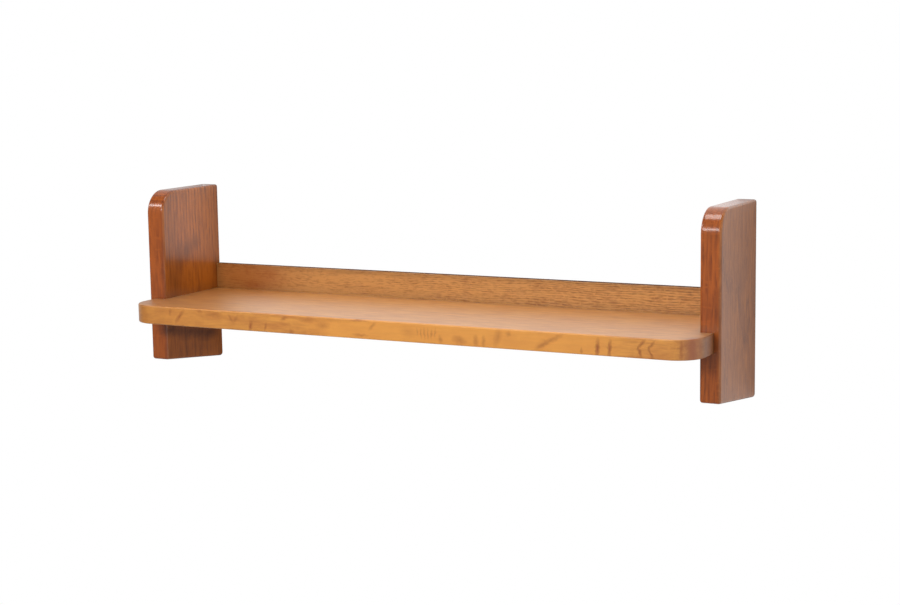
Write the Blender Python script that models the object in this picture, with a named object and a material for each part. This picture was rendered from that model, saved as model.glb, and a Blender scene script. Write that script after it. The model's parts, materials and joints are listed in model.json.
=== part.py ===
"""Oak wall shelf. Run with blender --background --python part.py, or from Blender's text editor.

Two upright sides hold a thick board in housings cut into their inner faces. The board comes forward
past the sides, where its front corners are rounded. A low rail stands behind the board, screwed to
its back edge. A keyhole plate let into the back edge of each side hangs the shelf on two wall screws.

Metres, +X to the right, +Y towards the wall, +Z up. The origin is on the wall's surface, midway
between the sides and level with the board's top face.
"""

import math

import bmesh
import bpy
from mathutils import Vector

# The whole shelf
OVERALL_WIDTH = 1.000  # across the outer faces of the sides
FIT_GAP = 0.0003  # between two pieces that touch
CUT_OVERRUN = 0.004  # how far a cutter runs past the face it enters

# Sides
SIDE_THICKNESS = 0.032
SIDE_DEPTH = 0.164  # from the wall to the front edge
SIDE_HEIGHT = 0.301  # along the back edge
SIDE_ABOVE_BOARD = 0.179  # from the board's top face to the side's top
FOOT_RISE = 0.019  # how much higher the foot's front is than its back
BROW_RADIUS = 0.038  # front top corner
HEEL_RADIUS = 0.006  # back bottom corner
SIDE_EASE = 0.0042  # rounding of the edges

# Board
BOARD_THICKNESS = 0.030
BOARD_PROJECTION = 0.075  # from the sides' front edges to the board's front edge
BOARD_CORNER_RADIUS = 0.043
BOARD_EASE = 0.0020
HOUSING_WALL = 0.010  # wood left between a housing and the side's outer face

# Rail behind the board
RAIL_THICKNESS = 0.012
RAIL_ABOVE_BOARD = 0.0425
RAIL_EASE = 0.0010

# Countersunk wood screws that hold the rail to the board
RAIL_SCREW_COUNT = 5
RAIL_SCREW_END_MARGIN = 0.060  # from the rail's end to the first screw
RAIL_SCREW_LENGTH = 0.035
RAIL_SCREW_RADIUS = 0.0020
RAIL_SCREW_HEAD_RADIUS = 0.0040

# Keyhole plates
PLATE_DROP = 0.045  # from the side's top to the plate's middle
PLATE_WIDTH = 0.020
PLATE_HEIGHT = 0.046
PLATE_THICKNESS = 0.0020
PLATE_CORNER_RADIUS = 0.0040
KEYHOLE_ENTRY_RADIUS = 0.0050  # the round part, which the wall screw's head goes through
KEYHOLE_SLOT_WIDTH = 0.0050
KEYHOLE_RISE = 0.010  # from the middle of the round part to the end of the slot's middle line
POCKET_MARGIN = 0.0010  # how much wider than the round part the hollow behind the plate is
POCKET_DEPTH = 0.010  # behind the plate

# Countersunk wood screws that hold the plates
PLATE_SCREW_SPACING = 0.034
PLATE_SCREW_LENGTH = 0.016
PLATE_SCREW_RADIUS = 0.00175
PLATE_SCREW_HEAD_RADIUS = 0.0034

# Shape of every screw
SCREW_POINT_SHARE = 0.2  # share of the length that tapers to the point
SCREW_TIP_SHARE = 0.15  # share of the shank's radius that is left at the tip
SCREW_SLOT_WIDTH = 0.0008
SCREW_SLOT_DEPTH = 0.0008

# Fineness of the meshes
ARC_STEPS = 14
EASE_STEPS = 3
SCREW_SIDES = 16
SHARP_ANGLE = math.radians(40)
MERGE_DISTANCE = 0.00001

# Places worked out from the sizes
INNER_HALF = OVERALL_WIDTH / 2 - SIDE_THICKNESS
SIDE_MIDDLE = OVERALL_WIDTH / 2 - SIDE_THICKNESS / 2
FOOT_BACK_Z = SIDE_ABOVE_BOARD - SIDE_HEIGHT
FOOT_FRONT_Z = FOOT_BACK_Z + FOOT_RISE
HOUSING_DEPTH = SIDE_THICKNESS - HOUSING_WALL
BOARD_HALF = INNER_HALF + HOUSING_DEPTH - FIT_GAP
BOARD_BACK_Y = -RAIL_THICKNESS - FIT_GAP
BOARD_FRONT_Y = -SIDE_DEPTH - BOARD_PROJECTION
BOARD_MIDDLE_Z = -BOARD_THICKNESS / 2
RAIL_HALF = INNER_HALF - FIT_GAP
PLATE_Z = SIDE_ABOVE_BOARD - PLATE_DROP

# Direction of each hand along X
HANDS = {"left": -1, "right": 1}


def linear(hex_colour):
    """An sRGB hex colour as the linear RGBA that a shader takes."""
    channels = [int(hex_colour[i : i + 2], 16) / 255 for i in (1, 3, 5)]
    return [((c + 0.055) / 1.055) ** 2.4 if c > 0.04045 else c / 12.92 for c in channels] + [1.0]


def finish(name, hex_colour, roughness, metallic=0.0):
    """A plain material for one kind of piece."""
    material = bpy.data.materials.new(name)
    material.use_nodes = True
    shader = material.node_tree.nodes["Principled BSDF"]
    shader.inputs["Base Color"].default_value = linear(hex_colour)
    shader.inputs["Roughness"].default_value = roughness
    shader.inputs["Metallic"].default_value = metallic
    return material


def arc(centre, radius, start, end):
    """Points of an arc about a centre (u, v), from one angle to another, both ends included."""
    points = []
    for step in range(ARC_STEPS + 1):
        angle = start + (end - start) * step / ARC_STEPS
        points.append((centre[0] + radius * math.cos(angle), centre[1] + radius * math.sin(angle)))
    return points


def rounded(corners):
    """An outline through corners (u, v, radius), anticlockwise, each with a radius turned into an arc."""
    outline = []
    for i, (u, v, radius) in enumerate(corners):
        if not radius:
            outline.append((u, v))
            continue
        corner = Vector((u, v))
        back = (Vector(corners[i - 1][:2]) - corner).normalized()
        ahead = (Vector(corners[(i + 1) % len(corners)][:2]) - corner).normalized()
        half = back.angle(ahead) / 2
        centre = corner + (back + ahead).normalized() * (radius / math.sin(half))
        start = corner + back * (radius / math.tan(half)) - centre
        start_angle = math.atan2(start.y, start.x)
        outline += arc(centre, radius, start_angle, start_angle + math.pi - 2 * half)
    return outline


def rectangle(low, high):
    """The outline of a rectangle between two corners (u, v)."""
    return [low, (high[0], low[1]), high, (low[0], high[1])]


def prism(outline, low, high, axis):
    """A closed solid: an outline carried from low to high along one axis. Its u and v are the others."""
    order = {"X": (2, 0, 1), "Y": (0, 2, 1), "Z": (0, 1, 2)}[axis]
    shape = bmesh.new()
    ring = []
    for u, v in outline:
        parts = (u, v, low)
        ring.append(shape.verts.new([parts[i] for i in order]))
    base = shape.faces.new(ring)
    grown = bmesh.ops.extrude_face_region(shape, geom=[base])
    moved = [item for item in grown["geom"] if isinstance(item, bmesh.types.BMVert)]
    along = Vector((0, 0, 0))
    along["XYZ".index(axis)] = high - low
    bmesh.ops.translate(shape, vec=along, verts=moved)
    bmesh.ops.recalc_face_normals(shape, faces=shape.faces)
    return shape


def turned(profile):
    """A closed solid turned about the Y axis from points (radius, y) that start and end on the axis."""
    shape = bmesh.new()
    verts = [shape.verts.new((radius, y, 0)) for radius, y in profile]
    edges = [shape.edges.new(pair) for pair in zip(verts, verts[1:])]
    bmesh.ops.spin(
        shape,
        geom=verts + edges,
        cent=(0, 0, 0),
        axis=(0, 1, 0),
        angle=math.tau,
        steps=SCREW_SIDES,
        use_merge=True,
    )
    bmesh.ops.remove_doubles(shape, verts=shape.verts, dist=MERGE_DISTANCE)
    bmesh.ops.recalc_face_normals(shape, faces=shape.faces)
    return shape


def repeated(make_shape, places):
    """One bmesh that holds a copy of a shape at each place."""
    gathered = bmesh.new()
    for place in places:
        shape = make_shape()
        bmesh.ops.translate(shape, vec=Vector(place), verts=shape.verts)
        mesh = bpy.data.meshes.new("copy")
        shape.to_mesh(mesh)
        shape.free()
        gathered.from_mesh(mesh)
        bpy.data.meshes.remove(mesh)
    return gathered


def sharp_edges(shape):
    """The edges where two faces meet at a clear angle, and not the facets of an arc."""
    return [edge for edge in shape.edges if edge.calc_face_angle() > SHARP_ANGLE]


def runs_along(edge, axis):
    """True for an edge that lies along X, Y or Z."""
    direction = (edge.verts[0].co - edge.verts[1].co).normalized()
    return abs(direction["XYZ".index(axis)]) > math.cos(SHARP_ANGLE)


def ease(shape, edges, radius):
    """Rounds edges over."""
    bmesh.ops.bevel(
        shape,
        geom=edges,
        offset=radius,
        segments=EASE_STEPS,
        profile=0.5,
        affect="EDGES",
        clamp_overlap=True,
    )


def mesh_of(name, shape):
    """A smooth-shaded mesh, with its clear edges kept sharp, from a bmesh that is then freed."""
    mesh = bpy.data.meshes.new(name)
    shape.to_mesh(mesh)
    shape.free()
    mesh.shade_smooth()
    mesh.set_sharp_from_angle(angle=SHARP_ANGLE)
    return mesh


def add_piece(name, mesh, material, place=(0, 0, 0), assembly=None):
    """One piece of the shelf, placed in the assembly."""
    if not mesh.materials:
        mesh.materials.append(material)
    piece = bpy.data.objects.new(name, mesh)
    bpy.context.collection.objects.link(piece)
    piece.parent = assembly
    piece.location = place
    return piece


def cut(piece, name, shape, place=(0, 0, 0)):
    """Takes a cutter's shape out of a piece. The cutter's place is measured from the piece's origin."""
    cutter = bpy.data.objects.new(name, mesh_of(name, shape))
    bpy.context.collection.objects.link(cutter)
    cutter.parent = piece
    cutter.location = place
    cutter.display_type = "WIRE"
    cutter.hide_render = True
    modifier = piece.modifiers.new(name, "BOOLEAN")
    modifier.operation = "DIFFERENCE"
    modifier.object = cutter


def applied(piece):
    """A mesh of a piece with its cuts made. The piece and its cutters are removed."""
    bpy.context.view_layer.update()
    graph = bpy.context.evaluated_depsgraph_get()
    mesh = bpy.data.meshes.new_from_object(piece.evaluated_get(graph))
    for cutter in list(piece.children):
        bpy.data.objects.remove(cutter)
    bpy.data.objects.remove(piece)
    return mesh


def screw_shape(length, radius, head_radius, grow=0.0):
    """A countersunk screw with its head's face at y = 0 and its point towards -Y, or its hole if grown."""
    shank = radius + grow
    head = head_radius + grow
    tip = -length - grow
    cone = [(head, 0), (shank, radius - head_radius)]
    if grow:
        return turned([(0, CUT_OVERRUN), (head, CUT_OVERRUN)] + cone + [(shank, tip), (0, tip)])
    taper_start = tip * (1 - SCREW_POINT_SHARE)
    point = [(shank, taper_start), (shank * SCREW_TIP_SHARE, tip), (0, tip)]
    return turned([(0, 0)] + cone + point)


def screw_mesh(name, length, radius, head_radius, material):
    """The mesh of a slotted countersunk screw, which all screws of its size share."""
    blank = add_piece(name, mesh_of(name, screw_shape(length, radius, head_radius)), material)
    slot_reach = head_radius + CUT_OVERRUN
    slot = rectangle((-slot_reach, -SCREW_SLOT_WIDTH / 2), (slot_reach, SCREW_SLOT_WIDTH / 2))
    cut(blank, "screw_slot", prism(slot, -SCREW_SLOT_DEPTH, CUT_OVERRUN, "Y"))
    return applied(blank)


def keyhole_outline():
    """The keyhole about the plate's middle: a round entry below and a slot above it."""
    slot_half = KEYHOLE_SLOT_WIDTH / 2
    meet = math.acos(slot_half / KEYHOLE_ENTRY_RADIUS)
    entry = arc((0, -KEYHOLE_RISE / 2), KEYHOLE_ENTRY_RADIUS, math.pi - meet, math.tau + meet)
    return entry + arc((0, KEYHOLE_RISE / 2), slot_half, 0, math.pi)


def pocket_outline():
    """The hollow behind a keyhole plate, as wide as the entry and a little more, with round ends."""
    radius = KEYHOLE_ENTRY_RADIUS + POCKET_MARGIN
    lower = arc((0, -KEYHOLE_RISE / 2), radius, math.pi, math.tau)
    return lower + arc((0, KEYHOLE_RISE / 2), radius, 0, math.pi)


def plate_outline(grow=0.0):
    """The plate's outline, or that of its recess if it is grown."""
    half_width = PLATE_WIDTH / 2 + grow
    half_height = PLATE_HEIGHT / 2 + grow
    corners = rectangle((-half_width, -half_height), (half_width, half_height))
    return rounded([(u, v, PLATE_CORNER_RADIUS + grow) for u, v in corners])


def plate_screw_places():
    """The middles of a plate's two screws, from the plate's middle."""
    return {"lower": (0, 0, -PLATE_SCREW_SPACING / 2), "upper": (0, 0, PLATE_SCREW_SPACING / 2)}


def plate_screw_hole():
    return screw_shape(PLATE_SCREW_LENGTH, PLATE_SCREW_RADIUS, PLATE_SCREW_HEAD_RADIUS, FIT_GAP)


def rail_screw_places():
    """The middles of the rail's screws, evenly spaced along the middle of the board's thickness."""
    first = -RAIL_HALF + RAIL_SCREW_END_MARGIN
    step = -2 * first / (RAIL_SCREW_COUNT - 1)
    return [(first + step * i, 0, BOARD_MIDDLE_Z) for i in range(RAIL_SCREW_COUNT)]


def rail_screw_hole():
    return screw_shape(RAIL_SCREW_LENGTH, RAIL_SCREW_RADIUS, RAIL_SCREW_HEAD_RADIUS, FIT_GAP)


def add_side(hand, material, assembly):
    """An upright side. Its origin is on the inner face at the wall, level with the board's top."""
    name = hand + "_side"
    direction = HANDS[hand]
    corners = [
        (-SIDE_DEPTH, FOOT_FRONT_Z, 0),
        (0, FOOT_BACK_Z, HEEL_RADIUS),
        (0, SIDE_ABOVE_BOARD, 0),
        (-SIDE_DEPTH, SIDE_ABOVE_BOARD, BROW_RADIUS),
    ]
    shape = prism(rounded(corners), 0, direction * SIDE_THICKNESS, "X")
    ease(shape, sharp_edges(shape), SIDE_EASE)
    side = add_piece(name, mesh_of(name, shape), material, (direction * INNER_HALF, 0, 0), assembly)

    housing = rectangle((-SIDE_DEPTH - CUT_OVERRUN, -BOARD_THICKNESS), (BOARD_BACK_Y + FIT_GAP, 0))
    cut(side, name + "_housing", prism(housing, -direction * CUT_OVERRUN, direction * HOUSING_DEPTH, "X"))

    plate_place = (direction * SIDE_THICKNESS / 2, 0, PLATE_Z)
    recess_floor = -PLATE_THICKNESS - FIT_GAP
    recess = prism(plate_outline(FIT_GAP), recess_floor, CUT_OVERRUN, "Y")
    cut(side, name + "_plate_recess", recess, plate_place)
    pocket = prism(pocket_outline(), recess_floor - POCKET_DEPTH, CUT_OVERRUN, "Y")
    cut(side, name + "_pocket", pocket, plate_place)
    holes = repeated(plate_screw_hole, plate_screw_places().values())
    cut(side, name + "_screw_holes", holes, plate_place)


def end_relief(hand, low, high):
    """What is planed off a face of the board where its end goes into a side, from low to high."""
    across = sorted([HANDS[hand] * RAIL_HALF, HANDS[hand] * (BOARD_HALF + CUT_OVERRUN)])
    along = [-SIDE_DEPTH - FIT_GAP, BOARD_BACK_Y + CUT_OVERRUN]
    return prism(rectangle((across[0], along[0]), (across[1], along[1])), low, high, "Z")


def add_board(material, assembly):
    """The shelf board, whose ends are thinned to enter the housings. Its back edge stays square."""
    name = "shelf_board"
    corners = [
        (-BOARD_HALF, BOARD_FRONT_Y, BOARD_CORNER_RADIUS),
        (BOARD_HALF, BOARD_FRONT_Y, BOARD_CORNER_RADIUS),
        (BOARD_HALF, BOARD_BACK_Y, 0),
        (-BOARD_HALF, BOARD_BACK_Y, 0),
    ]
    shape = prism(rounded(corners), -BOARD_THICKNESS, 0, "Z")
    back_face = BOARD_BACK_Y - MERGE_DISTANCE
    eased = [edge for edge in sharp_edges(shape) if min(vert.co.y for vert in edge.verts) < back_face]
    ease(shape, eased, BOARD_EASE)
    board = add_piece(name, mesh_of(name, shape), material, (0, 0, 0), assembly)
    cut(board, name + "_screw_holes", repeated(rail_screw_hole, rail_screw_places()))
    for hand in HANDS:
        cut(board, f"{name}_{hand}_top_relief", end_relief(hand, -FIT_GAP, CUT_OVERRUN))
        bottom = -BOARD_THICKNESS
        cut(board, f"{name}_{hand}_bottom_relief", end_relief(hand, bottom - CUT_OVERRUN, bottom + FIT_GAP))


def add_rail(material, assembly):
    """The rail behind the board, between the sides, from the board's underside to above its top."""
    name = "back_rail"
    outline = rectangle((-RAIL_THICKNESS, -BOARD_THICKNESS), (0, RAIL_ABOVE_BOARD))
    shape = prism(outline, -RAIL_HALF, RAIL_HALF, "X")
    long_edges = [edge for edge in sharp_edges(shape) if runs_along(edge, "X")]
    ease(shape, [edge for edge in long_edges if edge.verts[0].co.z > 0], RAIL_EASE)
    rail = add_piece(name, mesh_of(name, shape), material, (0, 0, 0), assembly)
    cut(rail, name + "_screw_holes", repeated(rail_screw_hole, rail_screw_places()))


def add_rail_screws(material, assembly):
    mesh = screw_mesh("rail_screw", RAIL_SCREW_LENGTH, RAIL_SCREW_RADIUS, RAIL_SCREW_HEAD_RADIUS, material)
    for number, place in enumerate(rail_screw_places(), 1):
        add_piece(f"rail_screw_{number}", mesh, material, place, assembly)


def add_plates(material, assembly):
    """A keyhole plate and its two screws at the back of each side."""
    sizes = (PLATE_SCREW_LENGTH, PLATE_SCREW_RADIUS, PLATE_SCREW_HEAD_RADIUS)
    screw = screw_mesh("plate_screw", *sizes, material)
    for hand, direction in HANDS.items():
        name = hand + "_keyhole_plate"
        shape = prism(plate_outline(), -PLATE_THICKNESS, 0, "Y")
        middle = Vector((direction * SIDE_MIDDLE, 0, PLATE_Z))
        plate = add_piece(name, mesh_of(name, shape), material, middle, assembly)
        keyhole = prism(keyhole_outline(), -PLATE_THICKNESS - CUT_OVERRUN, CUT_OVERRUN, "Y")
        cut(plate, name + "_keyhole", keyhole)
        cut(plate, name + "_screw_holes", repeated(plate_screw_hole, plate_screw_places().values()))
        for level, place in plate_screw_places().items():
            add_piece(f"{hand}_plate_screw_{level}", screw, material, middle + Vector(place), assembly)


def main():
    for old in list(bpy.data.objects):
        bpy.data.objects.remove(old)
    assembly = bpy.data.objects.new("wall_shelf", None)
    bpy.context.collection.objects.link(assembly)
    side_oak = finish("side_oak", "#9A5A32", 0.32)
    board_oak = finish("board_oak", "#C08148", 0.28)
    rail_oak = finish("rail_oak", "#AF7040", 0.35)
    zinc = finish("zinc_plated_steel", "#B7B5AE", 0.35, 1.0)
    for hand in HANDS:
        add_side(hand, side_oak, assembly)
    add_board(board_oak, assembly)
    add_rail(rail_oak, assembly)
    add_rail_screws(zinc, assembly)
    add_plates(zinc, assembly)


main()
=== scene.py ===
import json
import math
from functools import partial

import bmesh
import bpy
from bpy.props import FloatProperty, FloatVectorProperty, PointerProperty
from mathutils import Matrix, Vector

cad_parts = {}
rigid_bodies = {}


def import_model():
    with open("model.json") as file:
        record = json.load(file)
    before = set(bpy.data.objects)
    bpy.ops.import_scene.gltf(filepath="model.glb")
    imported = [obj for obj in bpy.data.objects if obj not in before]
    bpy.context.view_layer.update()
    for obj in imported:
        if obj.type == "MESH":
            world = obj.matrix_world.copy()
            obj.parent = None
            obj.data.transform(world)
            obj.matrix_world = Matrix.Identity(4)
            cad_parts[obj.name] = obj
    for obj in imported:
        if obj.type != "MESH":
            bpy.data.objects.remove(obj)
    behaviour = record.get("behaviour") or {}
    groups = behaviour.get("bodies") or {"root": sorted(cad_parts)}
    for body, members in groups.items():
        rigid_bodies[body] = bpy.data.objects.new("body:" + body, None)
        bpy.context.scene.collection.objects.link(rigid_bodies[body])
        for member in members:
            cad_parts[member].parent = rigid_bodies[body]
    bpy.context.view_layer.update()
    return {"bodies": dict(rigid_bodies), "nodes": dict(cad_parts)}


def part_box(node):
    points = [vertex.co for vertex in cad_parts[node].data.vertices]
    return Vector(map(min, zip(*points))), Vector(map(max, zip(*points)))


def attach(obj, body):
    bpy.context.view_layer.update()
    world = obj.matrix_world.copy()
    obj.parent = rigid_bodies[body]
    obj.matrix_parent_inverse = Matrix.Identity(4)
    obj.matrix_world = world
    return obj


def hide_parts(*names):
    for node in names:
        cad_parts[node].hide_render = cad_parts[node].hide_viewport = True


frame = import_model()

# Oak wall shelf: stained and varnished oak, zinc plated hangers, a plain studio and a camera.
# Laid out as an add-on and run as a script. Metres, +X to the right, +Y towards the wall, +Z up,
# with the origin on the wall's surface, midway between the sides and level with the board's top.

bl_info = {
    "name": "Oak wall shelf",
    "version": (1, 0, 0),
    "blender": (4, 5, 0),
    "location": "View3D > Sidebar > Shelf",
    "description": "Dresses a wall shelf in varnished oak and zinc plated steel, and sets up its studio",
    "category": "Object",
}

BODY = next(iter(frame["bodies"]))
HANDS = {"left": -1, "right": 1}

# Sizes that the frame holds
RIGHT_SIDE_LOW, RIGHT_SIDE_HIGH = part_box("right_side")
BOARD_LOW, BOARD_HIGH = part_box("shelf_board")
RAIL_LOW, RAIL_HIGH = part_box("back_rail")
RAIL_SCREW_COUNT = sum(name.startswith("rail_screw_") for name in frame["nodes"])
INNER_HALF = RIGHT_SIDE_LOW.x
OUTER_HALF = RIGHT_SIDE_HIGH.x
SIDE_FRONT_Y = RIGHT_SIDE_LOW.y
SIDE_TOP_Z = RIGHT_SIDE_HIGH.z
BOARD_THICKNESS = BOARD_HIGH.z - BOARD_LOW.z
BOARD_BACK_Y = BOARD_HIGH.y
BOARD_FRONT_Y = BOARD_LOW.y
BOARD_HALF = BOARD_HIGH.x
FIT_GAP = RAIL_LOW.y - BOARD_BACK_Y  # between two pieces that touch

# Fineness of the meshes
ARC_STEPS = 32
EASE_STEPS = 6
SCREW_SIDES = 48
SHARP_ANGLE = math.radians(35)
CUT_OVERRUN = 0.004  # how far a cutter runs past the face it enters
MERGE_DISTANCE = 0.00001

MM = 0.001
WHITE = (1.0, 1.0, 1.0, 1.0)
NOISE_MIDDLE = (0.5, 0.5, 0.5)
SPOT_SPREAD = 0.66  # how far a spot reaches from its middle, as a share of its size


def linear(hex_colour):
    """An sRGB hex colour as the linear RGBA that a shader takes."""
    channels = [int(hex_colour[i : i + 2], 16) / 255 for i in (1, 3, 5)]
    return [((c + 0.055) / 1.055) ** 2.4 if c > 0.04045 else c / 12.92 for c in channels] + [1.0]


def length(name, description, default):
    """A length that a user can set, in metres."""
    return FloatProperty(name=name, description=description, default=default, min=0.0, unit="LENGTH")


def stain(name, description, hex_colour):
    """A colour that a user can set."""
    return FloatVectorProperty(
        name=name,
        description=description,
        default=linear(hex_colour),
        size=4,
        min=0.0,
        max=1.0,
        subtype="COLOR",
    )


def brightness(name, description, default):
    """A radiance that a user can set. White paper in the studio is about 1."""
    return FloatProperty(name=name, description=description, default=default, min=0.0)


class ShelfSizes(bpy.types.PropertyGroup):
    """Roundings and hidden joints, which the frame's boxes don't give."""

    brow_radius: length("Brow radius", "Rounding of each side's front top corner", 0.038)
    heel_radius: length("Heel radius", "Rounding of each side's back bottom corner", 0.006)
    foot_front: length("Foot front", "Board's top down to the front of the foot", 0.103)
    foot_back: length("Foot back", "Board's top down to the back of the foot", 0.122)
    side_ease: length("Side edges", "Rounding of the sides' edges", 0.0042)
    housing_wall: length("Housing wall", "Wood outside the end of the board", 0.010)
    board_corner: length("Board corner", "Rounding of the board's front corners", 0.043)
    board_ease: length("Board edges", "Rounding of the board's edges", 0.002)
    rail_ease: length("Rail edges", "Rounding of the rail's top edges", 0.001)
    plate_corner: length("Plate corner", "Rounding of the keyhole plates' corners", 0.004)
    keyhole_entry: length("Keyhole entry", "Radius of the keyhole's round part", 0.005)
    keyhole_rise: length("Keyhole rise", "Round part's middle to the slot's end", 0.010)
    pocket_margin: length("Pocket margin", "Hollow's width past the round part", 0.001)
    pocket_depth: length("Pocket depth", "Depth of the hollow behind a plate", 0.010)


class ShelfColours(bpy.types.PropertyGroup):
    """Stains and metal."""

    side_light: stain("Side, late wood", "Stained oak of the sides", "#B85D19")
    side_dark: stain("Side, early wood", "Open grain of the sides", "#883E0D")
    board_light: stain("Board, late wood", "Stained oak of the board", "#E79D3E")
    board_dark: stain("Board, early wood", "Open grain of the board", "#C4762A")
    board_pale: stain("Board, pale", "Paler oak in the board's front edge", "#F3A33F")
    # The fleck colour also paints the shade on the board's right front corner
    fleck_and_shade: stain("Fleck", "Ray flecks and darker marks in the oak", "#984600")
    rail_light: stain("Rail, late wood", "Stained oak of the rail", "#C8904E")
    rail_dark: stain("Rail, early wood", "Open grain of the rail", "#9C6430")
    bare_light: stain("Bare oak, late wood", "Unvarnished oak on top of the rail", "#6E4428")
    bare_dark: stain("Bare oak, early wood", "Open grain on top of the rail", "#4A2C18")
    pore: stain("Pore", "Stain that has settled in the pores", "#4A230F")
    zinc: stain("Zinc", "Zinc plating", "#BDBBB4")


class ShelfStudio(bpy.types.PropertyGroup):
    """Lights, floor and background."""

    floor_drop: length("Floor drop", "Board's top down to the floor", 1.5)
    floor_width: length("Floor width", "Side of the square floor", 24.0)
    surround_radius: length("Surround radius", "Radius of the white surround", 12.0)
    left_lamp: brightness("Left lamp", "Softbox high at the left", 12.0)
    front_strip: brightness("Front strip", "Long softbox in front", 9.5)
    overhead: brightness("Overhead", "Softbox overhead", 7.0)
    wall_reach: length("Wall reach", "How far the wall goes each way", 2.0)
    wall_shadow: length("Wall shadow", "Height of the shadow on the wall below the feet", 0.2)
    wall: brightness("Wall", "White wall behind, as the varnish shows it", 1.2)
    wall_left: brightness("Wall, left", "The wall past the left side", 0.65)
    wall_right: brightness("Wall, right", "The wall in the right side's shadow", 0.7)
    wall_below: brightness("Wall below", "The wall in the board's shadow", 0.2)
    room_right: brightness("Room, right", "Room's brightness towards +X", 1.1)
    room_back: brightness("Room, back", "Room's brightness towards +Y", 0.3)
    room_top: brightness("Room, top", "Room's brightness towards +Z", 0.2)
    room_left: brightness("Room, left", "Room's brightness towards -X", 0.2)
    room_front: brightness("Room, front", "Room's brightness towards -Y", 0.47)
    room_floor: brightness("Room, floor", "Room's brightness towards -Z", 0.3)


def arc(centre, radius, start, end):
    """Points of an arc about a centre (u, v), from one angle to another, both ends included."""
    points = []
    for step in range(ARC_STEPS + 1):
        angle = start + (end - start) * step / ARC_STEPS
        points.append((centre[0] + radius * math.cos(angle), centre[1] + radius * math.sin(angle)))
    return points


def rounded(corners):
    """An outline through corners (u, v, radius), anticlockwise, each with a radius turned into an arc."""
    outline = []
    for i, (u, v, radius) in enumerate(corners):
        if not radius:
            outline.append((u, v))
            continue
        corner = Vector((u, v))
        back = (Vector(corners[i - 1][:2]) - corner).normalized()
        ahead = (Vector(corners[(i + 1) % len(corners)][:2]) - corner).normalized()
        half = back.angle(ahead) / 2
        centre = corner + (back + ahead).normalized() * (radius / math.sin(half))
        start = corner + back * (radius / math.tan(half)) - centre
        start_angle = math.atan2(start.y, start.x)
        outline += arc(centre, radius, start_angle, start_angle + math.pi - 2 * half)
    return outline


def rectangle(low, high):
    """The outline of a rectangle between two corners (u, v)."""
    return [low, (high[0], low[1]), high, (low[0], high[1])]


def prism(outline, low, high, axis):
    """A closed solid: an outline carried from low to high along one axis. Its u and v are the others."""
    order = {"X": (2, 0, 1), "Y": (0, 2, 1), "Z": (0, 1, 2)}[axis]
    shape = bmesh.new()
    ring = []
    for u, v in outline:
        parts = (u, v, low)
        ring.append(shape.verts.new([parts[i] for i in order]))
    base = shape.faces.new(ring)
    grown = bmesh.ops.extrude_face_region(shape, geom=[base])
    moved = [item for item in grown["geom"] if isinstance(item, bmesh.types.BMVert)]
    along = Vector((0, 0, 0))
    along["XYZ".index(axis)] = high - low
    bmesh.ops.translate(shape, vec=along, verts=moved)
    bmesh.ops.recalc_face_normals(shape, faces=shape.faces)
    return shape


def turned(profile, place):
    """A closed solid turned about Y at a place, from points (radius, y) that start and end on the axis."""
    shape = bmesh.new()
    verts = [shape.verts.new((radius, y, 0)) for radius, y in profile]
    edges = [shape.edges.new(pair) for pair in zip(verts, verts[1:])]
    bmesh.ops.spin(
        shape,
        geom=verts + edges,
        cent=(0, 0, 0),
        axis=(0, 1, 0),
        angle=math.tau,
        steps=SCREW_SIDES,
        use_merge=True,
    )
    bmesh.ops.remove_doubles(shape, verts=shape.verts, dist=MERGE_DISTANCE)
    bmesh.ops.recalc_face_normals(shape, faces=shape.faces)
    bmesh.ops.translate(shape, vec=place, verts=shape.verts)
    return shape


def sharp_edges(shape):
    """The edges where two faces meet at a clear angle, and not the facets of an arc."""
    return [edge for edge in shape.edges if edge.calc_face_angle() > SHARP_ANGLE]


def ease(shape, edges, radius):
    """Rounds edges over."""
    bmesh.ops.bevel(
        shape,
        geom=edges,
        offset=radius,
        segments=EASE_STEPS,
        profile=0.5,
        affect="EDGES",
        clamp_overlap=True,
    )


def mesh_of(name, shape):
    """A mesh from a bmesh that is then freed."""
    mesh = bpy.data.meshes.new(name)
    shape.to_mesh(mesh)
    shape.free()
    return mesh


def add_object(name, data):
    """A new object in the scene."""
    piece = bpy.data.objects.new(name, data)
    bpy.context.scene.collection.objects.link(piece)
    return piece


def carved(name, shape, cutters):
    """An object with cutters' shapes taken out, smooth with its clear edges kept sharp."""
    piece = add_object(name, mesh_of(name, shape))
    helpers = []
    for i, cutter_shape in enumerate(cutters):
        helper = add_object(f"{name}_cutter_{i}", mesh_of(f"{name}_cutter_{i}", cutter_shape))
        modifier = piece.modifiers.new("Cut", "BOOLEAN")
        modifier.operation = "DIFFERENCE"
        modifier.object = helper
        helpers.append(helper)
    bpy.context.view_layer.update()
    graph = bpy.context.evaluated_depsgraph_get()
    mesh = bpy.data.meshes.new_from_object(piece.evaluated_get(graph))
    piece.modifiers.clear()
    piece.data = mesh
    for helper in helpers:
        bpy.data.objects.remove(helper)
    mesh.shade_smooth()
    mesh.set_sharp_from_angle(angle=SHARP_ANGLE)
    weighted = piece.modifiers.new("Flat faces stay flat", "WEIGHTED_NORMAL")
    weighted.keep_sharp = True
    return piece


def dress(piece, materials, node):
    """Gives a piece its materials and lets it stand for a node of the frame."""
    piece.data.materials.clear()
    for material in materials:
        piece.data.materials.append(material)
    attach(piece, BODY)
    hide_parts(node)


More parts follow.
